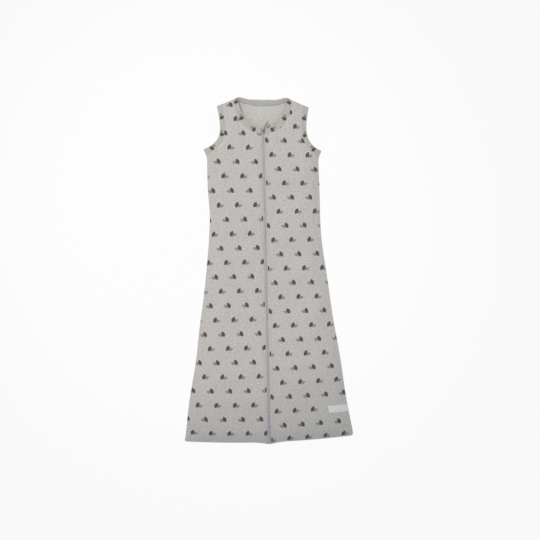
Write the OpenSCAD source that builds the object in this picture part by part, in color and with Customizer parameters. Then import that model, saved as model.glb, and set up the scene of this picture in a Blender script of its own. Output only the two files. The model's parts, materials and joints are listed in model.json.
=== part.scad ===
// Sleeveless baby sleeping bag with a full-length front zip, lying on its back.
// x runs across the bag, y from the hem towards the neck and z up through the front.
// Left and right are as seen from above with the neck at the far end.
// Every outline is worked out for the right half, and the left half is its mirror image.
// The front cloth lies flat round the zip, so each front can fold back like a lapel along
// a straight line from its neckline down to the foot of the zip.

/* [Bag] */
// Length from the hem to the neck points
bag_l = 900; // [760:5:1100]
// Width across the hem
hem_w = 436; // [360:5:520]
// Rise of the curved hem from the middle to the side seams
hem_rise = 10; // [0:1:20]
// Height above the hem at which its curve has faded out
hem_fade = 300; // [200:10:400]
// Radius of the rounded hem corners
hem_corner_r = 6; // [4:1:18]
// Width across the straight bodice
waist_w = 284; // [250:2:330]
// Width between the underarm points
underarm_w = 301; // [280:1:340]
// Length of the bodice, from the neck points to where the skirt starts to flare
bodice_l = 365; // [320:5:420]
// Length over which the side seam turns from the bodice into the skirt
flare_bend = 60; // [20:5:120]
// Length over which the side seam swings out to the underarm point
underarm_ease = 30; // [15:1:60]
// Height of the flat front above the floor
loft = 20; // [17:0.5:34]
// Width of the slope from the flat front down to a side seam
side_slope = 60; // [35:1:80]
// Length of the slope from the flat front down to the hem
hem_slope = 40; // [25:1:42]
// Length of the slope from the flat front down to a shoulder seam
shoulder_slope = 34; // [20:1:36]

/* [Neck and armholes] */
// Width between the neck points
neck_w = 124; // [104:1:150]
// Depth of the front neckline below the neck points
front_neck_drop = 83; // [74:1:110]
// Depth of the back neckline below the neck points
back_neck_drop = 9; // [4:1:20]
// Width between the shoulder tips
shoulder_w = 239; // [224:1:270]
// Drop of the shoulder seam from neck point to tip
shoulder_drop = 25; // [12:1:34]
// Height of the armhole, from the underarm point to the shoulder tip
armhole_l = 112; // [95:1:140]
// How far the underarm curve runs in towards the body
armhole_reach = 38; // [28:1:46]
// How far the armhole is hollowed in from the shoulder tip
armhole_hollow = 16; // [6:1:20]
// Height of the open mouth between the front and back at an armhole
armhole_gap = 9; // [5:0.5:10]
// Width of the slope from the flat front down to an armhole edge
armhole_slope = 45; // [30:1:50]
// Width of the binding round the neck and armholes
binding_w = 14; // [8:0.5:18]

/* [Cloth] */
// Thickness of the printed shell cloth
shell_t = 1.2; // [0.8:0.1:2]
// Thickness of the plain lining cloth
lining_t = 1.0; // [0.6:0.1:1.8]
// Width of the sewn seam allowances
seam_w = 7; // [4:0.5:12]
// Thickness of the sewn seam allowances
seam_t = 1.0; // [0.6:0.1:2]
// Room left between two sewn edges
sew_gap = 0.2; // [0.1:0.05:0.3]

/* [Zip] */
// Width of the gap between the two folded front edges
zip_gap_w = 9.6; // [9.2:0.1:12]
// Width of one zip tape from the middle of the zip
tape_w = 12; // [9:0.5:15]
// Thickness of the zip tape
tape_t = 0.6; // [0.4:0.05:0.9]
// Width of the closed chain of coils
chain_w = 4.2; // [3.4:0.1:4.4]
// Thickness of the chain
chain_t = 1.9; // [1.4:0.1:2.2]
// Height of the foot of the zip above the hem
zip_foot = 44; // [43:1:60]
// Distance of the fold line from the middle at the foot of the zip
fold_foot = 3.6; // [3.4:0.1:4.5]
// Place on the neckline where the fold line ends, from 0 at the zip to 1 at the neck point
fold_end = 0.7; // [0.6:0.01:0.72]
// Distance between the lining's edge and the middle of the zip
lining_inset = 7; // [6:0.5:9]
// Length of a zip stop
stop_l = 2; // [1.2:0.1:3]

/* [Slider and pull] */
// Length of the slider
slider_l = 10.5; // [9:0.1:12]
// Width of the slider at its mouth
slider_w = 8.4; // [8.2:0.1:8.8]
// Width of the slider at its tail
slider_tail_w = 6.4; // [6.2:0.1:7]
// Thickness of the slider's top and bottom plates
plate_t = 1.1; // [0.8:0.05:1.5]
// Width of the flanges along the slider's sides
flange_w = 0.8; // [0.5:0.05:0.85]
// Width of the wedge that parts the two chains
wedge_w = 1.8; // [1.2:0.1:2]
// Radius of the bail's arch to the middle of its wire
bail_r = 2.6; // [2.3:0.1:3]
// Thickness of the bail's wire
bail_wire_d = 1.2; // [0.8:0.1:1.4]
// Height of the bail's straight legs
bail_leg_h = 1.2; // [1.1:0.1:2]
// Length of the pull tab from its eye to its far end
tab_l = 26; // [16:0.5:30]
// Width of the pull tab at its far end
tab_w = 5.6; // [4:0.2:8]
// Thickness of the pull tab
tab_t = 1.0; // [0.7:0.05:1.1]
// Radius of the pull tab's eye
eye_r = 2.4; // [2.1:0.05:2.4]
// Lean of the resting pull tab to the right, in degrees
tab_lean = 29; // [0:1:50]
// Rise of the resting pull tab over the zip, in degrees
tab_rise = 10; // [10:1:13]

/* [Label] */
// Length of the label from the side seam
label_l = 52; // [30:1:70]
// Height of the label
label_h = 20; // [10:1:30]
// Thickness of the label
label_t = 0.6; // [0.3:0.05:1]
// Height of the label above the hem
label_rise = 71; // [45:1:200]

/* [Hidden] */
$fn = 48;

// Stacks of cloth and the heights they give
back_t = shell_t + lining_t;
front_t = shell_t + tape_t + lining_t;
edge_z = back_t + seam_t + sew_gap + front_t;
arm_z = back_t + armhole_gap + front_t;
tape_z = loft - shell_t - tape_t;
chain_z = tape_z + tape_t / 2 - chain_t / 2;

// Levels along the length
neck_y = bag_l - front_neck_drop;
back_neck_y = bag_l - back_neck_drop;
shoulder_y = bag_l - shoulder_drop;
underarm_y = shoulder_y - armhole_l;
bend_y = bag_l - bodice_l;

// Zip
slot = zip_gap_w / 2;
chain_half = chain_w / 2;
chain_room = 0.25;
half_gap = sew_gap / 2;
slider_clear = 1;
slider_y = neck_y - slider_l / 2 - stop_l - slider_clear;
chain_part = wedge_w / 2 + chain_room + half_gap / 2;
chain_top_y = slider_y + slider_l / 2 + sew_gap;
chain_foot_y = zip_foot + sew_gap;
chain_depth = loft - chain_z;
stop_rise = 0.5;

// Sample counts along curves
curve_steps = 10;
side_steps = 22;
panel_cols = 8;

neck_point = [neck_w / 2, bag_l];
shoulder_tip = [shoulder_w / 2, shoulder_y];
shoulder_dir = (shoulder_tip - neck_point) / norm(shoulder_tip - neck_point);
// Points from the shoulder seam into the bag
shoulder_in = [shoulder_dir.y, -shoulder_dir.x];

function mix(a, b, t) = a + (b - a) * t;
function clamp01(v) = min(1, max(0, v));
// Rises from 0 to 1 along a quarter of a sine wave as d goes from 0 to reach
function ease(d, reach) = sin(90 * clamp01(d / reach));
function bezier(p, t) =
    pow(1 - t, 3) * p[0] + 3 * t * pow(1 - t, 2) * p[1] + 3 * t * t * (1 - t) * p[2] + pow(t, 3) * p[3];
// The place between lo and hi where the rising function f passes zero, by halving
function crossing(f, lo, hi, steps = 26) =
    let (mid = (lo + hi) / 2)
    steps == 0 ? mid
    : f(mid) < 0 ? crossing(f, mid, hi, steps - 1)
    : crossing(f, lo, mid, steps - 1);
function along_shoulder(d) = neck_point + d * shoulder_dir;

// Half the bag's width at height y: a hyperbola from skirt to bodice, then the swing to the underarm
function flare_at(y) = ((bend_y - y) + sqrt(pow(bend_y - y, 2) + pow(flare_bend, 2))) / 2;
function corner_cut(y) = hem_corner_r - sqrt(pow(hem_corner_r, 2) - pow(max(0, hem_corner_r - y), 2));
function half_w(y) =
    waist_w / 2 - corner_cut(y)
    + (hem_w - waist_w) / 2 * flare_at(y) / flare_at(0)
    + (underarm_w - waist_w) / 2 * pow(clamp01((y - underarm_y + underarm_ease) / underarm_ease), 2);

// The hem curves up towards the side seams, and the skirt follows it less and less higher up
function hem_lift(p) = hem_rise * pow(2 * p.x / hem_w, 2) * clamp01(1 - p.y / hem_fade);
function lay(points) = [for (p = points) [p.x, p.y + hem_lift(p)]];

// Armhole edge, from the underarm point (t = 0) to the shoulder tip (t = 1)
armhole = [
    [half_w(underarm_y), underarm_y],
    [half_w(underarm_y) - armhole_reach, underarm_y + 0.14 * armhole_l],
    [shoulder_w / 2 - armhole_hollow, underarm_y + 0.38 * armhole_l],
    shoulder_tip
];
// The same edge moved w into the cloth, with its ends on the side seam and the shoulder seam
function armhole_in(w) = let (foot = underarm_y - 1.05 * w) [
    [half_w(foot), foot],
    armhole[1] + w * [-0.65, -0.75],
    armhole[2] + w * [-1, -0.15],
    shoulder_tip - w * shoulder_dir
];
function armhole_x(y) =
    bezier(armhole, crossing(function (t) bezier(armhole, t).y - y, 0, 1)).x;

// Front neckline, from the zip (t = 0) to the neck point (t = 1), and the same moved w into the cloth
neckline = [
    [0, neck_y],
    [0.29 * neck_w, neck_y],
    [neck_w / 2, neck_y + 0.4 * front_neck_drop],
    neck_point
];
function neckline_in(w) = [
    [0, neck_y - w],
    [0.29 * neck_w + 0.45 * w, neck_y - w],
    [neck_w / 2 + w, neck_y + 0.4 * front_neck_drop - 0.35 * w],
    along_shoulder(w)
];
// Back neckline, from the middle (t = 0) to the neck point (t = 1), and the same moved w into the cloth
back_neckline = [
    [0, back_neck_y],
    [0.3 * neck_w, back_neck_y],
    [0.4 * neck_w, bag_l],
    neck_point
];
function back_neckline_in(w) = [
    [0, back_neck_y - w],
    [0.3 * neck_w, back_neck_y - w],
    [0.4 * neck_w, bag_l - w],
    along_shoulder(w)
];

// Fold line of a front, from the foot of the zip to its place on the neckline
fold_top = bezier(neckline, fold_end);
function fold_x(y) = mix(fold_foot, fold_top.x, (y - zip_foot) / (fold_top.y - zip_foot));
function fold_y(x) = mix(zip_foot, fold_top.y, (x - fold_foot) / (fold_top.x - fold_foot));
// Where a curve that starts at the zip meets the fold line moved sideways by d
function at_fold(p, d) = crossing(function (t) bezier(p, t).x - fold_x(bezier(p, t).y) - d, 0, 0.98);
function at_x(p, x) = crossing(function (t) bezier(p, t).x - x, 0, 0.9);
function arc_points(p, t0, t1, steps = curve_steps) =
    [for (i = [0 : steps]) bezier(p, mix(t0, t1, i / steps))];

// Height of the front's top face: flat in the middle, falling to the side, hem and shoulder seams.
// At an armhole the edge stays up, so the arm has a way through.
function edge_at(y) =
    edge_z + (arm_z - edge_z) * pow(sin(180 * clamp01((y - underarm_y) / armhole_l)), 0.75);
function outline_x(y) = y < underarm_y ? half_w(y) : armhole_x(min(y, shoulder_y));
function slope_at(y) = mix(side_slope, armhole_slope, clamp01((y - bend_y) / (underarm_y - bend_y)));
function front_z(x, y) =
    let (
        edge = edge_at(y),
        over_side = edge + (loft - edge) * ease(outline_x(y) - x, slope_at(y)),
        over_hem = edge_z + (over_side - edge_z) * ease(y, hem_slope),
        from_shoulder = ([x, y] - neck_point) * shoulder_in
    )
    edge_z + (over_hem - edge_z) * ease(from_shoulder, shoulder_slope);
function on_front(p) = [p.x, p.y + hem_lift(p), front_z(p.x, p.y)];

// A closed sheet of thickness t under a grid of points, rows running up the bag and columns outwards
module cloth(rows, t) {
    n = len(rows);
    m = len(rows[0]);
    top = [for (row = rows) for (p = row) p];
    low = [for (p = top) p - [0, 0, t]];
    function id(i, j) = i * m + j;
    function under(i, j) = n * m + id(i, j);
    faces = [
        for (i = [0 : n - 2]) for (j = [0 : m - 2]) each [
            [id(i, j), id(i + 1, j), id(i + 1, j + 1)],
            [id(i, j), id(i + 1, j + 1), id(i, j + 1)],
            [under(i, j), under(i + 1, j + 1), under(i + 1, j)],
            [under(i, j), under(i, j + 1), under(i + 1, j + 1)]
        ],
        for (i = [0 : n - 2]) each [
            [id(i, 0), under(i, 0), under(i + 1, 0)],
            [id(i, 0), under(i + 1, 0), id(i + 1, 0)],
            [id(i, m - 1), under(i + 1, m - 1), under(i, m - 1)],
            [id(i, m - 1), id(i + 1, m - 1), under(i + 1, m - 1)]
        ],
        for (j = [0 : m - 2]) each [
            [id(0, j), under(0, j + 1), under(0, j)],
            [id(0, j), id(0, j + 1), under(0, j + 1)],
            [id(n - 1, j), under(n - 1, j), under(n - 1, j + 1)],
            [id(n - 1, j), under(n - 1, j + 1), id(n - 1, j + 1)]
        ]
    ];
    polyhedron(points = concat(top, low), faces = faces, convexity = 6);
}

// The strip of front cloth between two curves, each from its own start to its end, with rows at shares
module front_strip(outer, outer_start, inner, inner_start, shares, t) {
    cloth([
        for (share = shares)
            let (
                a = bezier(inner, mix(inner_start, 1, share)),
                b = bezier(outer, mix(outer_start, 1, share))
            )
            [for (j = [0 : 2]) on_front(mix(a, b, j / 2))]
    ], t);
}

// A flat sheet of a plan outline, from height z up
module flat(points, z, t) {
    translate([0, 0, z]) linear_extrude(t) polygon(points);
}

module both_sides() {
    children();
    mirror([1, 0, 0]) children();
}

// Moves the origin from the hem to the middle of the bag's length
module seat() {
    translate([0, -bag_l / 2, 0]) children();
}

module left() {
    seat() mirror([1, 0, 0]) children();
}

module right() {
    seat() children();
}

// Back: shell and lining of one outline, trimmed to the bindings
trim = binding_w + sew_gap;
side_top_y = armhole_in(trim)[0].y;
corner_ys = [for (i = [0 : 5]) hem_corner_r * (1 - cos(18 * i))];
side_ys = concat(corner_ys, [for (i = [1 : side_steps]) mix(hem_corner_r, side_top_y, i / side_steps)]);
hem_points = [for (i = [0 : curve_steps - 1]) [half_w(0) * i / curve_steps, 0]];
back_half = concat(
    lay(hem_points),
    lay([for (y = side_ys) [half_w(y), y]]),
    arc_points(armhole_in(trim), 0.02, 1),
    arc_points(back_neckline_in(trim), 1, 0)
);
back_outline = concat(back_half, [for (i = [len(back_half) - 2 : -1 : 1]) [-back_half[i].x, back_half[i].y]]);

module back_panel() {
    color("#c2bcb8") seat() flat(back_outline, 0, shell_t);
}

module back_lining() {
    color("#cdcac5") seat() flat(back_outline, shell_t, lining_t);
}

// Front panel beyond the fold line, as rows from the zip side to the outer edge
panel_neck = neckline_in(trim);
panel_neck_t = at_fold(panel_neck, half_gap);
panel_neck_foot = bezier(panel_neck, panel_neck_t);
// Inner edge of the panel at height y below the neck binding: the zip gap, then the fold line
function panel_inner(y) = [max(slot, fold_x(y) + half_gap), y];
// Places along the armhole where rows end, closer together where they start at the neck binding
neck_share = 0.8;
neck_shares = [for (i = [0 : curve_steps]) i / curve_steps];
rim_shares = concat(
    [for (i = [0 : 7]) neck_share * i / 8],
    [for (s = neck_shares) mix(neck_share, 1, s)]
);
// The rows lean up towards the underarm, so that they meet the armhole squarely
row_lean = 0.6 * armhole_l;
lower_rows = concat(
    corner_ys,
    [for (i = [1 : 4]) mix(hem_corner_r, hem_slope, i / 4)],
    [for (i = [1 : 12]) mix(hem_slope, side_top_y, i / 12)]
);
function panel_row(inner, outer) =
    [for (j = [0 : panel_cols]) on_front(mix(inner, outer, j / panel_cols))];
function lean_at(y) = row_lean * pow(y / side_top_y, 4);
panel_rows = concat(
    [for (y = lower_rows) panel_row(panel_inner(y - lean_at(y)), [half_w(y), y])],
    [for (t = rim_shares) if (t > 0 && t < neck_share)
        panel_row(
            panel_inner(mix(side_top_y - row_lean, panel_neck_foot.y, t / neck_share)),
            bezier(armhole_in(trim), t)
        )],
    [for (s = neck_shares)
        panel_row(
            bezier(panel_neck, mix(panel_neck_t, 1, s)),
            bezier(armhole_in(trim), mix(neck_share, 1, s))
        )]
);

module front_panel() {
    color("#c2bcb8") cloth(panel_rows, shell_t);
}

module front_lining() {
    color("#cdcac5") translate([0, 0, -shell_t - tape_t]) cloth(panel_rows, lining_t);
}

// Bindings, sewn over the raw edges of shell and lining
module back_neck_binding() {
    half = concat(arc_points(back_neckline_in(binding_w), 0, 1), arc_points(back_neckline, 1, 0));
    color("#b4b1ac") seat() both_sides() flat(half, 0, back_t);
}

module neck_binding() {
    inner = neckline_in(binding_w);
    color("#b4b1ac")
        front_strip(neckline, at_fold(neckline, half_gap), inner, at_fold(inner, half_gap),
            neck_shares, front_t);
}

module armhole_binding() {
    inner = armhole_in(binding_w);
    color("#bab8b2") {
        front_strip(armhole, 0, inner, 0, rim_shares, front_t);
        flat(concat(arc_points(inner, 0, 1), arc_points(armhole, 1, 0)), 0, back_t);
    }
}

// Seam allowances between the front and the back
module side_seam() {
    ys = [for (i = [0 : side_steps]) mix(seam_w + sew_gap, underarm_y, i / side_steps)];
    color("#a9a6a1") flat(lay(concat(
        [for (y = ys) [half_w(y), y]],
        [for (i = [side_steps : -1 : 0]) [half_w(ys[i]) - seam_w, ys[i]]]
    )), back_t, seam_t);
}

module hem_seam() {
    shares = [for (i = [-curve_steps : curve_steps]) i / curve_steps];
    corner = [for (y = corner_ys) if (y > 0 && y < seam_w) [half_w(y), y]];
    color("#a9a6a1") seat() flat(lay(concat(
        [for (s = shares) [s * half_w(0), 0]],
        corner,
        [for (s = shares) [-s * half_w(seam_w), seam_w]],
        [for (i = [len(corner) - 1 : -1 : 0]) [-corner[i].x, corner[i].y]]
    )), back_t, seam_t);
}

module shoulder_seam() {
    color("#a9a6a1") flat([
        neck_point, shoulder_tip,
        shoulder_tip + seam_w * shoulder_in, neck_point + seam_w * shoulder_in
    ], back_t, seam_t);
}

// Label sewn into the right side seam and lying on the front
module side_label() {
    cols = 6;
    color("#f2f0ee") right() translate([0, 0, sew_gap + label_t]) cloth([
        for (i = [0 : 2])
            let (y = label_rise + label_h * i / 2)
            [for (j = [0 : cols]) on_front([half_w(y) - sew_gap - label_l * (1 - j / cols), y])]
    ], label_t);
}

// Closed lower end of the zip, sewn down into the hem
end_foot_y = seam_w / 2;
end_rows = concat([end_foot_y], [for (y = lower_rows) if (y > end_foot_y && y < zip_foot) y], [zip_foot]);
module zip_end_tapes() {
    tip_y = fold_y(tape_w - sew_gap - half_gap);
    rows = concat(
        [for (y = end_rows) [chain_half + half_gap, y]],
        [for (y = [zip_foot + chain_room, tip_y]) [fold_x(y) + half_gap, y]]
    );
    color("#b2afb3") seat() both_sides() translate([0, 0, -shell_t - half_gap])
        cloth([for (p = rows) [on_front(p), on_front([tape_w, p.y])]], tape_t - sew_gap);
}

module zip_end_chain() {
    rows = [for (y = end_rows) if (y < zip_foot - stop_l - sew_gap) y];
    top_y = zip_foot - stop_l - sew_gap;
    color("#8f8c90") seat() translate([0, 0, chain_z + chain_t - loft])
        cloth([for (y = concat(rows, [top_y])) [for (x = [-chain_half, chain_half]) on_front([x, y])]], chain_t);
}

module zip_bottom_stop() {
    color("#a5a4a6") seat() translate([-chain_half, zip_foot - stop_l, chain_z])
        cube([chain_w, stop_l, chain_t + stop_rise]);
}

// Lapel: the part of a front between the zip and the fold line
module lapel_sheet(inner_x, w, z, t) {
    edge = neckline_in(w);
    tip_y = fold_y(inner_x + half_gap);
    flat(concat(
        [[inner_x, tip_y]],
        arc_points(edge, at_fold(edge, -half_gap), at_x(edge, inner_x))
    ), z, t);
}

module lapel_shell() {
    color("#c2bcb8") lapel_sheet(slot, trim, loft - shell_t, shell_t);
}

module lapel_lining() {
    color("#cdcac5") lapel_sheet(lining_inset, trim, tape_z - lining_t, lining_t);
}

module lapel_binding() {
    inner = neckline_in(binding_w);
    color("#b4b1ac") flat(concat(
        arc_points(neckline, at_x(neckline, slot), at_fold(neckline, -half_gap)),
        arc_points(inner, at_fold(inner, -half_gap), at_x(inner, slot))
    ), loft - front_t, front_t);
}

// Half of the zip, parted at the top by the slider's wedge
part_from = slider_y - slider_l / 5;
part_to = slider_y + slider_l / 12;
module zip_tape() {
    under_binding_y = neck_y - trim - sew_gap;
    parted_x = chain_half + chain_part;
    color("#b2afb3") flat([
        [chain_half, chain_foot_y],
        [fold_x(chain_foot_y) - half_gap, chain_foot_y],
        [tape_w, fold_y(tape_w + half_gap)],
        [tape_w, under_binding_y],
        [slot - half_gap, under_binding_y],
        [slot - half_gap, neck_y - sew_gap],
        [parted_x, neck_y - sew_gap],
        [parted_x, part_to],
        [chain_half, part_from]
    ], tape_z, tape_t);
}

// Inner edge of a half chain: its lower corner swings in as a front lifts and just clears the middle
function chain_inner(y) =
    min(0.6 * chain_half, fold_x(y) - sqrt(max(0, pow(fold_x(y) - half_gap, 2) - pow(chain_depth, 2))));
module zip_chain() {
    ys = [for (i = [curve_steps : -1 : 0]) mix(chain_foot_y, part_from, pow(i / curve_steps, 2))];
    color("#8f8c90") flat(concat(
        [
            [chain_half, chain_foot_y],
            [chain_half, part_from],
            [chain_half + chain_part, part_to],
            [chain_half + chain_part, chain_top_y],
            [chain_part, chain_top_y],
            [chain_part, part_to]
        ],
        [for (y = ys) [chain_inner(y), y]]
    ), chain_z, chain_t);
}

module top_stop() {
    color("#a5a4a6") translate([chain_part, chain_top_y + half_gap, chain_z])
        cube([chain_half, stop_l, chain_t]);
}

// Slider: two plates with flanges, joined by the wedge that parts the chains
plate_gap = chain_t + 2 * chain_room;
plate_z = chain_z - chain_room;
shoulder_at = slider_l / 20;
slider_outline = [
    [slider_tail_w / 2, -slider_l / 2],
    [slider_w / 2, shoulder_at],
    [slider_w / 2, slider_l / 2]
];
module slider_plate() {
    linear_extrude(plate_t) polygon(concat(
        slider_outline, [for (i = [2 : -1 : 0]) [-slider_outline[i].x, slider_outline[i].y]]
    ));
}

module slider_flange(h) {
    linear_extrude(h) polygon(concat(
        slider_outline, [for (i = [2 : -1 : 0]) slider_outline[i] - [flange_w, 0]]
    ));
}

module slider_wedge() {
    foot = slider_l / 2 - 0.8 * slider_l / 2;
    tip = slider_l / 2 - 0.12 * slider_l;
    linear_extrude(plate_gap) polygon([
        [0, foot], [wedge_w / 2, mix(foot, tip, 0.6)], [wedge_w / 2, tip],
        [-wedge_w / 2, tip], [-wedge_w / 2, mix(foot, tip, 0.6)]
    ]);
}

module zip_slider() {
    flange_h = (plate_gap - tape_t) / 2 - 2 * chain_room;
    color("#b9babd") seat() translate([0, slider_y, plate_z]) {
        translate([0, 0, -plate_t]) slider_plate();
        translate([0, 0, plate_gap]) slider_plate();
        both_sides() {
            slider_flange(flange_h);
            translate([0, 0, plate_gap - flange_h]) slider_flange(flange_h);
        }
        slider_wedge();
    }
}

// Bail: a half ring of wire on two legs, which the pull tab's eye runs round
pivot = [0, slider_y, plate_z + plate_gap + plate_t + bail_leg_h];
module slider_bail() {
    color("#b9babd") seat() translate(pivot) {
        rotate([90, 0, 90]) rotate_extrude(angle = 180) translate([bail_r, 0]) circle(d = bail_wire_d);
        for (y = [-bail_r, bail_r])
            translate([0, y, -bail_leg_h]) cylinder(d = bail_wire_d, h = bail_leg_h);
    }
}

// Pull tab: a flat drop with a round eye over the bail and a hole near its wide end
module pull_tab() {
    eye_hole_r = bail_wire_d / 2 + 2 * chain_room;
    end_r = tab_w / 2;
    neck_half = eye_r / 2;
    color("#b9babd") seat() translate(pivot) rotate([tab_rise, 0, 0])
        translate([0, bail_r, -tab_t / 2]) rotate([0, 0, -tab_lean]) difference() {
            linear_extrude(tab_t) union() {
                circle(r = eye_r);
                polygon([[-neck_half, 0], [neck_half, 0], [end_r, tab_l - end_r], [-end_r, tab_l - end_r]]);
                translate([0, tab_l - end_r]) circle(r = end_r);
            }
            translate([0, 0, -tab_t]) cylinder(r = eye_hole_r, h = 3 * tab_t);
            translate([0, tab_l - end_r, -tab_t]) cylinder(r = end_r / 2, h = 3 * tab_t);
        }
}

back_panel();
back_lining();
left() front_panel();  // left_front_panel
right() front_panel();  // right_front_panel
left() front_lining();  // left_front_lining
right() front_lining();  // right_front_lining
back_neck_binding();
left() neck_binding();  // left_neck_binding
right() neck_binding();  // right_neck_binding
left() armhole_binding();  // left_armhole_binding
right() armhole_binding();  // right_armhole_binding
left() side_seam();  // left_side_seam
right() side_seam();  // right_side_seam
hem_seam();
left() shoulder_seam();  // left_shoulder_seam
right() shoulder_seam();  // right_shoulder_seam
side_label();
zip_end_tapes();
zip_end_chain();
zip_bottom_stop();
left() lapel_shell();  // left_lapel_shell
left() lapel_lining();  // left_lapel_lining
left() lapel_binding();  // left_lapel_binding
left() zip_tape();  // left_zip_tape
left() zip_chain();  // left_zip_chain
left() top_stop();  // left_top_stop
right() lapel_shell();  // right_lapel_shell
right() lapel_lining();  // right_lapel_lining
right() lapel_binding();  // right_lapel_binding
right() zip_tape();  // right_zip_tape
right() zip_chain();  // right_zip_chain
right() top_stop();  // right_top_stop
zip_slider();
slider_bail();
pull_tab();
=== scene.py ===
"""Sleeveless baby sleeping bag of printed jersey with a full-length zip, laid flat on its back."""

import json
import math

import bmesh
import bpy
import numpy as np
from mathutils import Matrix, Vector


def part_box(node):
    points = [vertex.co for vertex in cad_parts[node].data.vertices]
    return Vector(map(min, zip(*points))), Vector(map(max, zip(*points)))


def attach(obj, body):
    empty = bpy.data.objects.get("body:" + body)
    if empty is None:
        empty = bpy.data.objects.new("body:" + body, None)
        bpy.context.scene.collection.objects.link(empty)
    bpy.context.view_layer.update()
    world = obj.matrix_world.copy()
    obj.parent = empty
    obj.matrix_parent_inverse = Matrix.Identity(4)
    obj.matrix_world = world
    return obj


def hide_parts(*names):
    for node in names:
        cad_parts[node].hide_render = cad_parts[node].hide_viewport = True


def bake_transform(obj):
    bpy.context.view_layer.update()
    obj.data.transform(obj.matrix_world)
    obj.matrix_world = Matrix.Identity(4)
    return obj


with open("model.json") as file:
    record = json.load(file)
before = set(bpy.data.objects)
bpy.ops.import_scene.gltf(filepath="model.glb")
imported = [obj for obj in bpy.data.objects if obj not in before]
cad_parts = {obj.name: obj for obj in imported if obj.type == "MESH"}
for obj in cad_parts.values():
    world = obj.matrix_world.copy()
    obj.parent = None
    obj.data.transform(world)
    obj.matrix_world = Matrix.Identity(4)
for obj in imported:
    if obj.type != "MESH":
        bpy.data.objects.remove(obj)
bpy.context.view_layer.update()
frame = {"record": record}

# Back cloth: one cut of printed cotton jersey, from the hem to the shoulders and the neck band.
# It lies on the floor and turns up at its rim, where the side, hem and shoulder seams join it
# to the two fronts. Heights on the cut are measured from the middle of the hem.
scene = bpy.context.scene
mm = 0.001
hem_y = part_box("hem_seam")[0].y
bag_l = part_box("back_neck_binding")[1].y - hem_y
hem_w = 436 * mm
hem_corner_r = 6 * mm
corner_rows = 9
waist_w = 284 * mm
bend_y = bag_l - 365 * mm
flare_bend = 60 * mm
neck_w = 124 * mm
neck_point = np.array([neck_w / 2, bag_l])
back_neck_y = bag_l - 9 * mm
back_neck_flat, back_neck_turn = 0.3, 0.4
shoulder_tip = np.array([119.5 * mm, bag_l - 25 * mm])
shoulder_dir = (shoulder_tip - neck_point) / np.linalg.norm(shoulder_tip - neck_point)
armhole_l = 112 * mm
armhole_reach = 38 * mm
armhole_hollow = 16 * mm
armhole_rises = (0.14, 0.38)
armhole_moves = np.array([(0.65, 0.75), (1, 0.15)])
underarm_w = 301 * mm
underarm_ease = 30 * mm
underarm_drop = 1.05
underarm_y = shoulder_tip[1] - armhole_l
band_w = 14 * mm
jersey_t = 0.9 * mm
rim_z = 1.2 * mm
rim_w = 16 * mm
back_turn = 1.0 * mm
back_rows, back_columns = (120, 24, 20), 30
back_lean = 20 * mm
# How the bag lies: the curve and wave of its hem, its skew, the sway of its sides, and where it is pulled.
hem_rise = 10 * mm
hem_fade = 300 * mm
hem_wave = 2 * mm
hem_wave_w = 22 * mm
hem_wave_h = 40 * mm
zip_dip = 2.4
hem_skew = 0.016
neck_skew = -0.034
side_sway = 1.2 * mm
sway_l = 210 * mm
sway_lag = 3
underarm_pull = 5 * mm
underarm_pull_from = bend_y + 50 * mm
underarm_pull_full = underarm_y - 90 * mm
underarm_pull_to = underarm_y + 35 * mm
hem_pull = 3.5 * mm
hem_pull_from = 130 * mm
hem_pull_to = 260 * mm


def ramp(value, start, end):
    """Rises smoothly from 0 at start to 1 at end."""
    t = np.clip((value - start) / (end - start), 0, 1)
    return t * t * (3 - 2 * t)


def bezier(corners, t):
    """Point at t on the cubic curve that the four corners steer."""
    t = np.asarray(t, float)[..., None]
    a, b, c, d = np.asarray(corners, float)
    return (1 - t) ** 3 * a + 3 * t * (1 - t) ** 2 * b + 3 * t * t * (1 - t) * c + t**3 * d


def places(*parts):
    """Points from their coordinates, each spread over the same grid."""
    return np.stack(np.broadcast_arrays(*parts), axis=-1)


def flare(y):
    """Distance below the bend where the skirt starts, eased through zero along a hyperbola."""
    return ((bend_y - y) + np.sqrt((bend_y - y) ** 2 + flare_bend**2)) / 2


def side_x(y):
    """Half width at height y, up to the underarm: straight bodice, flaring skirt and swing to the
    underarm, less the round hem corner."""
    y = np.minimum(y, underarm_y)
    swing = np.clip((y - underarm_y + underarm_ease) / underarm_ease, 0, 1) ** 2
    corner = hem_corner_r - np.sqrt(hem_corner_r**2 - np.maximum(0, hem_corner_r - y) ** 2)
    skirt = (hem_w - waist_w) / 2 * flare(y) / flare(0)
    return waist_w / 2 + skirt + (underarm_w - waist_w) / 2 * swing - corner


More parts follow.
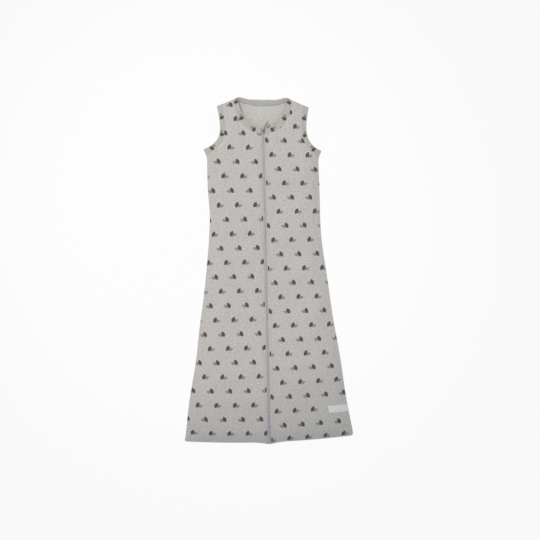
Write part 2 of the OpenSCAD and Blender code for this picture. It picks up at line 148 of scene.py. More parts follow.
def on_bag(x, y, z):
    """Place in the frame of a point of the cut. The hem curves up by the square of x, less higher up, and
    the zip pushes it down in the middle. The bag lies a little askew, its right side drawn up at the hem
    and down at the shoulder. Its sides sway in and out in a long wave, and it is pulled out at the left
    underarm and at the left of the hem."""
    out = (2 * x / hem_w) ** 2
    lift = hem_rise * out * np.clip(1 - y / hem_fade, 0, 1)
    wave = hem_wave * (1 - zip_dip * np.exp(-((x / hem_wave_w) ** 2)))
    lift = lift + wave * (1 - ramp(y, 0, hem_wave_h))
    skew = hem_skew * (1 - ramp(y, 0, bend_y)) + neck_skew * ramp(y, bend_y, underarm_y)
    sway = side_sway * out * np.sin(2 * math.pi * y / sway_l + sway_lag * x / hem_w) * np.sign(x)
    arm_pull = ramp(y, underarm_pull_from, underarm_pull_full) - ramp(y, underarm_y, underarm_pull_to)
    arm_pull = underarm_pull * arm_pull * np.clip(-2 * x / underarm_w, 0, 1) ** 2
    low_pull = hem_pull * (1 - ramp(y, hem_pull_from, hem_pull_to)) * np.clip(-2 * x / hem_w, 0, 1) ** 2
    x_out = x + sway * ramp(y, 0, rim_w) - (arm_pull + low_pull)
    return places(x_out, y + lift + skew * x + hem_y, z)


def armhole(w):
    """Corners of the armhole curve, moved w into the cloth, from the side seam to the shoulder seam."""
    foot = underarm_y - underarm_drop * w
    low = (side_x(underarm_y) - armhole_reach, underarm_y + armhole_rises[0] * armhole_l)
    high = (shoulder_tip[0] - armhole_hollow, underarm_y + armhole_rises[1] * armhole_l)
    low, high = np.array([low, high]) - w * armhole_moves
    return [(side_x(foot), foot), low, high, shoulder_tip - w * shoulder_dir]


def back_neckline(w):
    """Corners of the back neckline, moved w into the cloth, from the middle to the shoulder seam."""
    flat = (back_neck_flat * neck_w, back_neck_y - w)
    turn = (back_neck_turn * neck_w, bag_l - w)
    return [(0, back_neck_y - w), flat, turn, neck_point + w * shoulder_dir]


def start_at(curve, x):
    """Where a neckline passes x."""
    t = np.linspace(0, 1, 400)
    return np.interp(x, bezier(curve, t)[:, 0], t)


def outer_edge(low_rows, arm_rows):
    """Side seam from the hem corner to the underarm, then the armhole, a band's width into the cloth."""
    corner = hem_corner_r * (1 - np.cos(np.linspace(0, math.pi / 2, corner_rows)))
    side = np.linspace(hem_corner_r, underarm_y - underarm_drop * band_w, low_rows)[1:]
    y = np.concatenate([corner, side])
    arm = bezier(armhole(band_w), np.linspace(0, 1, arm_rows + 1)[1:])
    return np.concatenate([places(side_x(y), y), arm])


def inner_edge(x, neckline, outer, lean, below, beside):
    """Straight edge at x that lags behind the outer edge by up to lean, with the fourth power of the
    height, then runs up to the neckline in the rows below it and along it in the rows beside it."""
    start = outer[-(below + beside + 1), 1]
    y = outer[: -(below + beside), 1]
    y = y - lean * (y / start) ** 4
    t_start = start_at(neckline, x)
    neck = bezier(neckline, np.linspace(t_start, 1, beside + 1)[1:])
    climb = np.linspace(y[-1], bezier(neckline, t_start)[1], below + 1)[1:]
    return np.concatenate([places(x, np.concatenate([y, climb])), neck])


edge_w = 4 * mm
near_edge = edge_w * np.array([0, 0.06, 0.2, 0.42, 0.6, 0.74, 0.88])


def cut_grid(x, neckline, lean, rows, columns):
    """Places on the cut: rows of points on straight lines from the inner edge at x to the outer edge,
    close together near both edges. rows counts those up the side, below the neckline and beside it."""
    low, below, beside = rows
    outer = outer_edge(low, below + beside)
    inner = inner_edge(x, neckline, outer, lean, below, beside)
    width = np.linalg.norm(outer - inner, axis=1)[:, None]
    middle = edge_w + np.linspace(0, 1, columns)[None, :] * (width - 2 * edge_w)
    ones = np.ones_like(width)
    share = np.concatenate([near_edge * ones, middle, width - near_edge[::-1] * ones], axis=1) / width
    grid = inner[:, None, :] + share[..., None] * (outer - inner)[:, None, :]
    return grid[..., 0], grid[..., 1]


def finished(name, mesh, material):
    """A smooth-shaded piece of that mesh and material, at the origin."""
    mesh.polygons.foreach_set("use_smooth", np.ones(len(mesh.polygons), bool))
    mesh.materials.append(material)
    piece = bpy.data.objects.new(name, mesh)
    scene.collection.objects.link(piece)
    return piece


def outward(whole, meshes, merge=0.0):
    """Puts closed meshes into one, merges points nearer than merge and turns the faces outwards."""
    shape = bmesh.new()
    for mesh in meshes:
        shape.from_mesh(mesh)
    if merge:
        bmesh.ops.remove_doubles(shape, verts=shape.verts, dist=merge)
    bmesh.ops.recalc_face_normals(shape, faces=shape.faces)
    shape.to_mesh(whole)
    shape.free()


def cells(index):
    """Corners of each cell of a grid of point numbers, or of several grids."""
    low, high = index[..., :-1, :], index[..., 1:, :]
    return places(low[..., :-1], low[..., 1:], high[..., 1:], high[..., :-1]).reshape(-1, 4)


def grid_piece(name, points, cut, material, thickness=0.0, closed=False):
    """A mesh with one four-sided face per cell of a grid of points, or of several grids of one size. cut
    gives each point's place on the flat cloth. A closed grid joins its last column to the first and gets
    a face at each end. Thickness grows from the grid against its normals."""
    index = np.arange(points[..., 0].size).reshape(points.shape[:-1])
    if closed:
        index = np.concatenate([index, index[..., :1]], axis=-1)
    faces = cells(index).tolist()
    if closed:
        faces += index[..., 0, -2::-1].reshape(-1, index.shape[-1] - 1).tolist()
        faces += index[..., -1, :-1].reshape(-1, index.shape[-1] - 1).tolist()
    mesh = bpy.data.meshes.new(name)
    mesh.from_pydata(points.reshape(-1, 3).tolist(), [], faces)
    corners = np.empty(len(mesh.loops), int)
    mesh.loops.foreach_get("vertex_index", corners)
    mesh.uv_layers.new(name="cut").data.foreach_set("uv", cut.reshape(-1, 2)[corners].ravel())
    if closed:
        outward(mesh, [mesh])
    piece = finished(name, mesh, material)
    if thickness:
        solid = piece.modifiers.new("thickness", "SOLIDIFY")
        solid.thickness = thickness
        solid.offset = -1
    return piece


def carried(piece, body, slot, *nodes):
    """Lets a piece move with a body and puts it in the place of CAD nodes. Its slot is not used."""
    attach(piece, body)
    if nodes:
        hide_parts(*nodes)


def srgb(hex_colour):
    """Linear colour with alpha of an sRGB hex value."""
    value = np.array([int(hex_colour[i : i + 2], 16) for i in (1, 3, 5)]) / 255
    linear = np.where(value <= 0.04045, value / 12.92, ((value + 0.055) / 1.055) ** 2.4)
    return (*linear.tolist(), 1.0)


def feed(tree, node, inputs):
    """Links or sets a node's inputs."""
    for socket, value in inputs.items():
        if isinstance(value, bpy.types.NodeSocket):
            tree.links.new(value, node.inputs[socket])
        else:
            node.inputs[socket].default_value = value


def add(tree, kind, inputs=(), out=0, **settings):
    """Adds a node with its settings and inputs, and returns one of its outputs."""
    node = tree.nodes.new("ShaderNode" + kind)
    for name, value in settings.items():
        setattr(node, name, value)
    feed(tree, node, dict(inputs))
    return node.outputs[out]


def new_material(name):
    """An empty material with its node tree and its shader."""
    material = bpy.data.materials.new(name)
    material.use_nodes = True
    return material, material.node_tree, material.node_tree.nodes["Principled BSDF"]


# Print of the shell: sprigs of two leaves, one dark and one pale, in rows that shift by a third.
# It is screen printed, so its edge is a little soft and the ink is thin over raised fibres.
sprig_pitch = 47 * mm
sprig_row = 37 * mm
row_shift = 1 / 3
leaf_edge = 0.5 * mm
dark_leaf = {"at": (-2.4, 0.6), "tilt": 64, "length": 16.5, "width": 9.2, "colour": "#4d4845"}
pale_leaf = {"at": (4.6, -2.2), "tilt": 20, "length": 14.5, "width": 8, "colour": "#94908b"}
thin_ink = {"From Min": 0.2, "From Max": 0.55, "To Min": 0.72, "To Max": 1.0}


def leaf(tree, place, shape):
    """How much a leaf covers: inside where the distance from its axis is less than its half width, which
    falls with the square of the place along the axis."""
    half_l, half_w = shape["length"] / 2 * mm, shape["width"] / 2 * mm
    turn = math.radians(shape["tilt"])
    along = (math.cos(turn), math.sin(turn), 0)
    across = (-math.sin(turn), math.cos(turn), 0)
    at = (shape["at"][0] * mm, shape["at"][1] * mm, 0)
    local = add(tree, "VectorMath", {0: place, 1: at}, operation="SUBTRACT")
    a = add(tree, "VectorMath", {0: local, 1: along}, "Value", operation="DOT_PRODUCT")
    b = add(tree, "VectorMath", {0: local, 1: across}, "Value", operation="DOT_PRODUCT")
    a2 = add(tree, "Math", {0: a, 1: a}, operation="MULTIPLY")
    limit = add(tree, "Math", {0: a2, 1: -half_w / half_l**2, 2: half_w}, operation="MULTIPLY_ADD")
    b = add(tree, "Math", {0: b}, operation="ABSOLUTE")
    inside = add(tree, "Math", {0: limit, 1: b}, operation="SUBTRACT")
    soft = {"Value": inside, "From Min": -leaf_edge, "From Max": leaf_edge}
    return add(tree, "MapRange", soft, interpolation_type="SMOOTHSTEP")


def sprig_place(tree, cut):
    """Place within the sprig's own cell: rows shift by a third of the pitch, and every other row is
    mirrored."""
    cell = add(tree, "VectorMath", {0: cut, 1: (sprig_pitch, sprig_row, 1)}, operation="DIVIDE")
    across = add(tree, "SeparateXYZ", {0: cell}, "X")
    up = across.node.outputs["Y"]
    row = add(tree, "Math", {0: up}, operation="FLOOR")
    x = add(tree, "Math", {0: row, 1: row_shift, 2: across}, operation="MULTIPLY_ADD")
    x = add(tree, "Math", {0: x}, operation="FRACT")
    y = add(tree, "Math", {0: up}, operation="FRACT")
    x = add(tree, "Math", {0: x, 1: sprig_pitch, 2: -sprig_pitch / 2}, operation="MULTIPLY_ADD")
    y = add(tree, "Math", {0: y, 1: sprig_row, 2: -sprig_row / 2}, operation="MULTIPLY_ADD")
    odd = add(tree, "Math", {0: row, 1: 2.0}, operation="FLOORED_MODULO")
    sign = add(tree, "Math", {0: odd, 1: -2.0, 2: 1.0}, operation="MULTIPLY_ADD")
    x = add(tree, "Math", {0: x, 1: sign}, operation="MULTIPLY")
    return add(tree, "CombineXYZ", {0: x, 1: y})


# Melange cotton jersey: matt, with pale and dark fibres mixed in the yarn, and a faint nap that catches
# light at grazing angles. Its streaks, and its wales of about 1.3 mm, are drawn coarser than the real
# ones so that they show.
fibre = 1.6 * mm
mottle_l = 7 * mm
mottle_h = 3.5 * mm
mottle_share, mottle_drop = 1.45, -0.6
fibre_share = 0.75
wale = 2 * mm
course = 1.5 * mm
course_share = 0.5
fuzz_share = 0.8
wave_period = math.pi / 10
knit_depth = 0.3 * mm


def jersey(name, dark, light, printed):
    """Knitted cotton from a dark and a light yarn colour, plain or with the printed sprigs."""
    material, tree, shader = new_material(name)
    cut = add(tree, "UVMap", uv_map="cut")
    fine = {"Vector": cut, "Scale": 1 / fibre, "Detail": 3.0, "Roughness": 0.65}
    fine = add(tree, "TexNoise", fine, "Fac")
    streaks = add(tree, "VectorMath", {0: cut, 1: (1 / mottle_l, 1 / mottle_h, 1)}, operation="MULTIPLY")
    broad = {"Vector": streaks, "Scale": 1.0, "Detail": 2.0, "Roughness": 0.6}
    broad = add(tree, "TexNoise", broad, "Fac")
    blend = add(tree, "Math", {0: broad, 1: mottle_share, 2: mottle_drop}, operation="MULTIPLY_ADD")
    blend = add(tree, "Math", {0: fine, 1: fibre_share, 2: blend}, operation="MULTIPLY_ADD")
    colour = add(tree, "Mix", {0: blend, 6: srgb(dark), 7: srgb(light)}, 2, data_type="RGBA")
    if printed:
        place = sprig_place(tree, cut)
        ink = add(tree, "MapRange", {"Value": fine, **thin_ink})
        for shape in (pale_leaf, dark_leaf):
            cover = add(tree, "Math", {0: leaf(tree, place, shape), 1: ink}, operation="MULTIPLY")
            print_over = {0: cover, 6: colour, 7: srgb(shape["colour"])}
            colour = add(tree, "Mix", print_over, 2, data_type="RGBA")
    knit = []
    for pitch, way in ((wale, "X"), (course, "Y")):
        wave = {"Vector": cut, "Scale": wave_period / pitch, "Distortion": 1.6, "Detail": 2.0}
        knit.append(add(tree, "TexWave", wave, "Fac", bands_direction=way))
    height = add(tree, "Math", {0: knit[1], 1: course_share, 2: knit[0]}, operation="MULTIPLY_ADD")
    height = add(tree, "Math", {0: fine, 1: fuzz_share, 2: height}, operation="MULTIPLY_ADD")
    bump = add(tree, "Bump", {"Height": height, "Distance": knit_depth, "Strength": 0.5})
    feed(tree, shader, {"Base Color": colour, "Normal": bump, "Roughness": 0.92})
    feed(tree, shader, {"Specular IOR Level": 0.25, "Sheen Weight": 0.12, "Sheen Roughness": 0.6})
    return material


shell_cloth = jersey("printed_melange_jersey", "#b1aeab", "#dad6d3", True)
lining_cloth = jersey("plain_melange_jersey", "#b8b7b3", "#dfdeda", False)

half_x, half_y = cut_grid(0, back_neckline(band_w), back_lean, back_rows, back_columns)
back_x = np.concatenate([-half_x[:, :0:-1], half_x], axis=1)
back_y = np.concatenate([half_y[:, :0:-1], half_y], axis=1)


def edge_turn(away, radius):
    """Quarter of a circle by which cloth turns over at a seam: the radius at the seam, 0 a radius away."""
    if not radius:
        return 0.0
    return radius * (1 - np.sqrt(1 - np.clip(1 - away / radius, 0, 1) ** 2))


def from_shoulder(x, y):
    """Distance from the shoulder seam, into the cloth."""
    return (np.abs(x) - neck_point[0]) * shoulder_dir[1] - (y - neck_point[1]) * shoulder_dir[0]


def back_rim(x, y, turn=back_turn):
    """Height of the back's lower face, which rises at the side, hem and shoulder seams and turns up into
    them."""
    side = np.where(y < underarm_y, side_x(y) - np.abs(x), rim_w)
    away = np.minimum(np.minimum(side, y), np.maximum(from_shoulder(x, y), 0))
    return rim_z * (1 - ramp(away, 0, rim_w)) + edge_turn(away, turn)


back_points = on_bag(back_x, back_y, back_rim(back_x, back_y))
back_cut = places(back_x, back_y)
back_cloth = grid_piece("back_cloth", back_points[:, ::-1], back_cut[:, ::-1], shell_cloth, jersey_t)
carried(back_cloth, "bag", "shell", "back_panel")

# Back lining: plain jersey of the same cut, sewn in with the shell round its whole edge.
# It shows through the neck and the armholes, and lies a little slack.
lining_t = 0.6 * mm
lining_ease = 0.5 * mm
lining_in = 9 * mm
lining_fade = 60 * mm
lining_arm_gap = 20 * mm
lining_neck_gap = 40 * mm
lining_seed = 3
lining_waves = (40 * mm, 130 * mm)
fold_count = 12


def soft_folds(x, y, seed, shortest, longest):
    """Slack cloth: low waves of drawn directions, phases and lengths, about one high in all."""
    draw = np.random.default_rng(seed)
    turn, phase = draw.uniform(0, math.pi, fold_count), draw.uniform(0, 2 * math.pi, fold_count)
    length = draw.uniform(shortest, longest, fold_count)
    along = x[..., None] * np.cos(turn) + y[..., None] * np.sin(turn)
    return np.sin(2 * math.pi * along / length + phase).sum(axis=-1) / 4


def inset(x, y):
    """Places on the cut, drawn in from the side, hem and shoulder seams, where the seam allowances lie."""
    draw = lining_in * (1 - ramp(y, underarm_y - lining_fade, underarm_y - lining_arm_gap))
    drop = lining_in * (1 - ramp(from_shoulder(x, y), 0, lining_fade))
    drop = drop * ramp(np.abs(x), lining_neck_gap, neck_point[0])
    x = x * (1 - draw / side_x(y)) + drop * np.sign(x) * shoulder_dir[1]
    return x, y + lining_in * (1 - ramp(y, 0, lining_fade)) - drop * shoulder_dir[0]


lining_x, lining_y = inset(back_x, back_y)
lining_z = back_rim(lining_x, lining_y) + jersey_t + lining_ease
lining_z = lining_z + lining_ease * soft_folds(lining_x, lining_y, lining_seed, *lining_waves) + lining_t
lining_points = on_bag(lining_x, lining_y, lining_z)
back_lining = grid_piece("back_lining_cloth", lining_points, back_cut, lining_cloth, lining_t)
carried(back_lining, "bag", "lining", "back_lining")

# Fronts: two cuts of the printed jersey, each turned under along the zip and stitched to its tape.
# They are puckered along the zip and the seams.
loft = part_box("right_lapel_shell")[1].z
zip_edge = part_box("right_lapel_shell")[0].x
neck_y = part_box("right_lapel_binding")[0].y - hem_y + band_w
front_neck_flat, front_neck_turn = 0.29, 0.4
front_neck_moves = (0.45, 0.35)
front_rows, front_columns = (230, 40, 36), 84
front_lean = 67 * mm
edge_z = 6.2 * mm
arm_z = 14 * mm
mouth_power = 0.75
side_slope = 60 * mm
armhole_slope = 45 * mm
hem_slope = 40 * mm
shoulder_slope = 34 * mm
seam_drop = 2 * mm
front_turn = 2 * mm
fold_r = 1.2 * mm
fold_r_rise = 3 * mm
stitch_in = 6 * mm
stitch_dent = 0.3 * mm
stitch_dent_w = 0.7 * mm
pucker_l = (9 * mm, 17 * mm)
pucker_beat = 90 * mm
pucker_start = 4 * mm
zip_pucker = (0.55 * mm, 9 * mm)
seam_pucker = (0.5 * mm, 10 * mm)
pucker_end = underarm_y - 20 * mm
print_shift = (17 * mm, 9 * mm)
sides = {"left": -1, "right": 1}


def front_neckline(w):
    """Corners of the front neckline, moved w into the cloth, from the zip to the shoulder seam."""
    flat = (front_neck_flat * neck_w + front_neck_moves[0] * w, neck_y - w)
    level = neck_y + front_neck_turn * (bag_l - neck_y)
    turn = (neck_w / 2 + w, level - front_neck_moves[1] * w)
    return [(0, neck_y - w), flat, turn, neck_point + w * shoulder_dir]


def front_grid(x, rows, columns):
    """Places on the cut of a front whose zip edge is at x."""
    return cut_grid(x, front_neckline(band_w), front_lean, rows, columns)


def rise(distance, reach):
    """A quarter of a sine wave from 0 to 1 over the reach."""
    return np.sin(math.pi / 2 * np.clip(distance / reach, 0, 1))


armhole_edge = bezier(armhole(0), np.linspace(0, 1, 400))


def front_top(x, y, turn=front_turn):
    """Top face of the front: flat in the middle, falling to the side, hem and shoulder seams, and held
    up at the armholes. Along the seams it drops further and turns down into the seam line."""
    mouth = np.sin(math.pi * np.clip((y - underarm_y) / armhole_l, 0, 1)) ** mouth_power
    edge = edge_z + (arm_z - edge_z) * mouth
    arm_x = np.interp(y, armhole_edge[:, 1], armhole_edge[:, 0])
    outline = np.where(y < underarm_y, side_x(y), arm_x)
    up = np.clip((y - bend_y) / (underarm_y - bend_y), 0, 1)
    z = edge + (loft - edge) * rise(outline - x, side_slope + (armhole_slope - side_slope) * up)
    z = edge_z + (z - edge_z) * rise(y, hem_slope)
    shoulder = from_shoulder(x, y)
    z = edge_z + (z - edge_z) * rise(shoulder, shoulder_slope)
    away = np.minimum(np.minimum(outline - x + rim_w * mouth, y), shoulder)
    return z - seam_drop * (1 - ramp(away, 0, rim_w)) - edge_turn(away, turn)


def puckers(along, across, seed, height, reach):
    """Ripples at a stitched edge: three waves along it that swell and fade, dying out across it."""
    draw = np.random.default_rng(seed)
    length, phase = draw.uniform(*pucker_l, 3), draw.uniform(0, 2 * math.pi, 3)
    slow = 0.6 + 0.4 * np.sin(2 * math.pi * along / pucker_beat + phase[0])
    wave = np.sin(2 * math.pi * along[..., None] / length + phase).sum(axis=-1) / 2
    return height * slow * wave * np.exp(-across / reach) * ramp(across, 0, pucker_start)


def sided(side, x, y, z, shift=(0.0, 0.0)):
    """Points and cut of a grid that was worked out for the right (side 1), or of its mirror image
    (side -1)."""
    points = on_bag(side * x, y, z)
    cut = places(side * x + side * shift[0], y + side * shift[1])
    return (points, cut) if side > 0 else (points[:, ::-1], cut[:, ::-1])


def joint(name):
    """The record's joint of that name."""
    return next(j for j in frame["record"]["behaviour"]["joints"] if j["name"] == name)


def fold_back(piece, side_name, slot, *nodes):
    """Puts a piece of a front in the place of CAD nodes, with its placement baked into its mesh. Its
    lapel's fold joint is read, but the piece is not made to bend along it. Its slot is not used."""
    hinge = joint(side_name + "_lapel_fold")
    foot, axis = np.array(hinge["pos_m"]), np.array(hinge["axis"])
    to_zip = np.cross(axis, (0, 0, 1))
    to_zip = to_zip * -np.sign(to_zip[0] * foot[0])
    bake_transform(piece)
    if nodes:
        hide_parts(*nodes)


# Slack of the fronts: each lies as a cloth a little larger than the bed under it, held along its edges,
# and settles into soft folds.
slack_ease = 0.008
slack_seed = 20
bed_rows, bed_columns = (110, 20, 18), 30
bed_depth = 3 * mm
bed_lumps = 1.5 * mm
lump_waves = (60 * mm, 200 * mm)
sheet_lumps = 0.3
held_strip = 9 * mm
settle_frames = 25
fold_cap = 3.5 * mm
map_step = 5 * mm
map_blur = 6 * mm
map_columns, map_rows = 46, 182
edge_fade = 22 * mm
zip_fade = 25 * mm
slack_hem_fade = 30 * mm


def laid_cloth(side, x, y):
    """Heights over the front's top face of a cloth that was laid on a lumpy bed by simulation."""
    index = np.arange(x.size).reshape(x.shape)
    faces = cells(index)[:, ::side].tolist()
    top, lumps = front_top(x, y), soft_folds(x, y, slack_seed + side, *lump_waves)
    layers = []
    for z in (top - bed_depth + bed_lumps * lumps, top + sheet_lumps * bed_lumps * lumps):
        mesh = bpy.data.meshes.new("layer")
        mesh.from_pydata(on_bag(side * x, y, z).reshape(-1, 3).tolist(), [], faces)
        layers.append(bpy.data.objects.new("layer", mesh))
        scene.collection.objects.link(layers[-1])
    bed, sheet = layers
    bed.modifiers.new("bed", "COLLISION")
    bed.collision.thickness_outer = mm
    bed.collision.thickness_inner = 10 * mm
    edge = x - zip_edge < held_strip
    edge[:3] = edge[-2:] = True
    edge[:, :3] = edge[:, -3:] = True
    sheet.vertex_groups.new(name="held").add(index[edge].tolist(), 1.0, "REPLACE")
    cloth = sheet.modifiers.new("cloth", "CLOTH")
    cloth.settings.quality = 6
    cloth.settings.mass = 0.02
    cloth.settings.bending_stiffness = 12
    cloth.settings.vertex_group_mass = "held"
    cloth.settings.shrink_min = -slack_ease
    cloth.settings.effector_weights.gravity = 0.3
    cloth.collision_settings.distance_min = mm
    cloth.collision_settings.collision_quality = 3
    cloth.point_cache.frame_end = settle_frames
    for step in range(1, settle_frames + 1):
        scene.frame_set(step)
    settled = sheet.evaluated_get(bpy.context.evaluated_depsgraph_get()).to_mesh()
    place = np.empty(x.size * 3)
    settled.vertices.foreach_get("co", place)
    for layer in layers:
        bpy.data.objects.remove(layer)
    scene.frame_set(1)
    height = place.reshape(*x.shape, 3)[..., 2] - top
    return fold_cap * np.tanh(height / fold_cap)


bed_x, bed_y = front_grid(zip_edge, bed_rows, bed_columns)
map_x, map_y = np.meshgrid(np.arange(map_columns) * map_step, np.arange(map_rows) * map_step)
fold_maps = {}
for side in sides.values():
    folds = laid_cloth(side, bed_x, bed_y).ravel()
    near_x = np.exp(-((map_x.reshape(-1, 1) - bed_x.reshape(1, -1)) ** 2) / (2 * map_blur**2))
    near_y = np.exp(-((map_y.reshape(-1, 1) - bed_y.reshape(1, -1)) ** 2) / (2 * map_blur**2))
    near = near_x * near_y + 1e-9
    fold_maps[side] = (near @ folds / near.sum(axis=1)).reshape(map_x.shape)
band_curves = [bezier(curve, np.linspace(0, 1, 60)) for curve in (armhole(band_w), front_neckline(band_w))]
band_curves = np.concatenate(band_curves)


def spline_weights(t):
    """Weights of the four nearest map values on a cubic B-spline."""
    second, third = 3 * t**3 - 6 * t**2 + 4, -3 * t**3 + 3 * t**2 + 3 * t + 1
    return [(1 - t) ** 3 / 6, second / 6, third / 6, t**3 / 6]


def slack(x, y, side):
    """Height of a front's folds at places of the cut, from its map, fading out towards every sewn edge."""
    x, y = np.broadcast_arrays(x, y)
    i, j = np.floor(x / map_step).astype(int), np.floor(y / map_step).astype(int)
    across, along = spline_weights(x / map_step - i), spline_weights(y / map_step - j)
    height = np.zeros(x.shape)
    for m in range(4):
        column = np.clip(i + m - 1, 0, map_columns - 1)
        for n in range(4):
            row = np.clip(j + n - 1, 0, map_rows - 1)
            height = height + across[m] * along[n] * fold_maps[side][row, column]
    band = np.hypot(x[..., None] - band_curves[:, 0], y[..., None] - band_curves[:, 1]).min(axis=-1)
    loose = ramp(side_x(y) - x, 0, edge_fade) * ramp(x - zip_edge, held_strip, zip_fade)
    return height * loose * ramp(y, 0, slack_hem_fade) * ramp(band, 0, edge_fade)


front_x, front_y = front_grid(zip_edge, front_rows, front_columns)
from_zip = front_x - zip_edge
from_stitch = from_zip - stitch_in
from_side = side_x(front_y) - front_x
for side_name, side in sides.items():
    seed = slack_seed + side
    z = front_top(front_x, front_y) + slack(front_x, front_y, side)
    z = z + puckers(front_y, np.maximum(from_stitch, 0), seed + 5, *zip_pucker)
    z = z - stitch_dent * np.exp(-((from_stitch / stitch_dent_w) ** 2))
    z = z + puckers(front_y, from_side, seed + 7, *seam_pucker) * (front_y < pucker_end)
    z = z + puckers(front_x, front_y, seed + 9, *seam_pucker)
    z = z - edge_turn(from_zip, fold_r) * ramp(front_y, 0, fold_r_rise)
    points, cut = sided(side, front_x, front_y, z, print_shift)
    front = grid_piece(side_name + "_front_cloth", points, cut, shell_cloth, jersey_t)
    fold_back(front, side_name, "shell", side_name + "_front_panel", side_name + "_lapel_shell")

# Front linings: plain jersey behind each front, drawn in from the seam allowances.
# They are sewn in with the front round its edge and stitched to the zip tape.
lining_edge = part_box("right_lapel_lining")[0].x
lining_depth = 1.9 * mm
lining_rows = (150, 28, 24)
inner_x, inner_y = inset(*front_grid(lining_edge, lining_rows, front_columns))
for side_name, side in sides.items():
    z = front_top(inner_x, inner_y) + slack(inner_x, inner_y, side) - lining_depth
    points, cut = sided(side, inner_x, inner_y, z)
    lining = grid_piece(side_name + "_front_lining_cloth", points, cut, lining_cloth, lining_t)
    fold_back(lining, side_name, "lining", side_name + "_front_lining", side_name + "_lapel_lining")

# Bands: a strip of jersey folded over the raw edges of shell and lining and stitched along its inner
# edge. The neck band has one length on each front and a plain one on the back. The armhole bands are
# cut from a slightly greener grey, and each runs down the front and up the back.
band_across = np.array([14, 12.6, 7, 2, 0.7, 0.1, 0, 0.2, 0.9, 2.2, 5, 9, 11.6, 12.3, 12.7, 13.3, 14]) * mm
band_under = [-2.5, -2.6, -2.6, -2.6, -2.3, -1.6]
band_over = [-1, -0.4, 0.2, 0.5, 0.6, 0.6, 0.5, 0.2, 0.2, 0.4, 0.1]
band_height = np.array(band_under + band_over) * mm
band_stitch = 12.5 * mm
band_print = 11 * mm
back_band_lift = 0.7 * mm
neck_stand = 2 * mm
stations = 44
neck_cloth = jersey("printed_rib_jersey", "#a9a7a3", "#cdcbc7", True)
armhole_cloth = jersey("printed_bias_jersey", "#a9a8a1", "#cdccc4", True)
plain_band_cloth = jersey("plain_band_jersey", "#a3a29d", "#c4c3be", False)


def along_path(points):
    """Distance along a path of points."""
    return np.concatenate([[0], np.cumsum(np.linalg.norm(np.diff(points, axis=0), axis=1))])


def band_grid(side, outer, inner, height, facing=1):
    """The band's folded profile carried from the outer to the inner edge of a strip, over a height given
    for each place. Facing -1 turns the outer face down. Returns points and cut."""
    share = (band_across / band_w)[None, :, None]
    plan = outer[:, None, :] + share * (inner - outer)[:, None, :]
    x, y = plan[..., 0], plan[..., 1]
    unfolded = np.where(np.arange(len(band_across)) < len(band_under), -band_across, band_across)
    cut = places(along_path(inner)[:, None], unfolded[None, :] + band_print)
    return on_bag(side * x, y, height(x, y) + facing * band_height), cut


def stacked(grids):
    """Points and cuts of several grids as one."""
    return (np.stack(parts) for parts in zip(*grids))


def front_band_height(x, y):
    """Height of a band on a front, which isn't turned down into the seams at its ends."""
    return front_top(x, y, 0)


def back_band_height(x, y):
    """Height of a band on the back."""
    return back_rim(x, y, 0) + back_band_lift


def back_neck_height(x, y):
    """Height of the back's neck band, which stands up a little."""
    return back_band_height(x, y) + neck_stand


def front_neck_edge(w):
    """The front neckline moved w into the cloth, from the zip edge to the shoulder."""
    curve = front_neckline(w)
    return bezier(curve, np.linspace(start_at(curve, zip_edge), 1, stations))


neck_outer, neck_inner = front_neck_edge(0), front_neck_edge(band_w)
for side_name, side in sides.items():
    points, cut = band_grid(side, neck_outer, neck_inner, front_band_height)
    band = grid_piece(side_name + "_neck_band", points, cut, neck_cloth, closed=True)
    fold_back(band, side_name, "binding", side_name + "_neck_binding", side_name + "_lapel_binding")

t = np.linspace(-1, 1, 2 * stations)
mirror = places(np.where(t < 0, -1.0, 1.0), 1.0)
back_neck_outer = bezier(back_neckline(0), np.abs(t)) * mirror
back_neck_inner = bezier(back_neckline(band_w), np.abs(t)) * mirror
points, cut = band_grid(1, back_neck_outer, back_neck_inner, back_neck_height)
back_band = grid_piece("back_neck_band", points, cut, plain_band_cloth, closed=True)
carried(back_band, "bag", "binding", "back_neck_binding")

t = np.linspace(0, 1, stations)
arm_outer, arm_inner = bezier(armhole(0), t), bezier(armhole(band_w), t)
for side_name, side in sides.items():
    over = band_grid(side, arm_outer, arm_inner, front_band_height)
    under = band_grid(side, arm_outer, arm_inner, back_band_height, -1)
    points, cut = stacked([over, under])
    band = grid_piece(side_name + "_armhole_band", points, cut, armhole_cloth, closed=True)
    carried(band, "bag", "binding", side_name + "_armhole_binding")

# Seam allowances: the overlocked edges of shell and lining, pressed flat inside the side, hem and
# shoulder seams.
seam_w = 7 * mm
seam_t = 0.8 * mm
seam_z = 3.1 * mm
seam_in = 2.5 * mm
side_seam_end = underarm_y - 6 * mm
overlock = jersey("overlocked_edge", "#9f9c97", "#bdbab5", False)


def seam_piece(name, x, y):
    """A flat strip from a grid of places on the cut, just under the front's edge."""
    points = on_bag(x, y, seam_z)
    piece = grid_piece(name + "_allowance", points, places(x, y), overlock, seam_t)
    carried(piece, "bag", "seam", name)


across = np.linspace(0, 1, 4)[None, :]
side_y = np.linspace(seam_in, side_seam_end, 120)[:, None]
shoulder_in = np.array([shoulder_dir[1], -shoulder_dir[0]])
shoulder = neck_point + np.linspace(0, 1, 12)[:, None] * (shoulder_tip - neck_point)
for side_name, side in sides.items():
    x = side_x(side_y) - seam_in - seam_w + across * seam_w
    order = slice(None, None, side)
    seam_piece(side_name + "_side_seam", (side * x)[:, order], side_y)
    strip = shoulder[:, None, :] + (seam_in + across * seam_w)[..., None] * shoulder_in
    seam_piece(side_name + "_shoulder_seam", (side * strip[..., 0])[:, order], strip[..., 1][:, order])
x = np.linspace(-1, 1, 90)[None, :] * (side_x(seam_w) - seam_in - seam_w)
y = np.linspace(seam_in, seam_in + seam_w, 4)[:, None]
seam_piece("hem_seam", x, y)

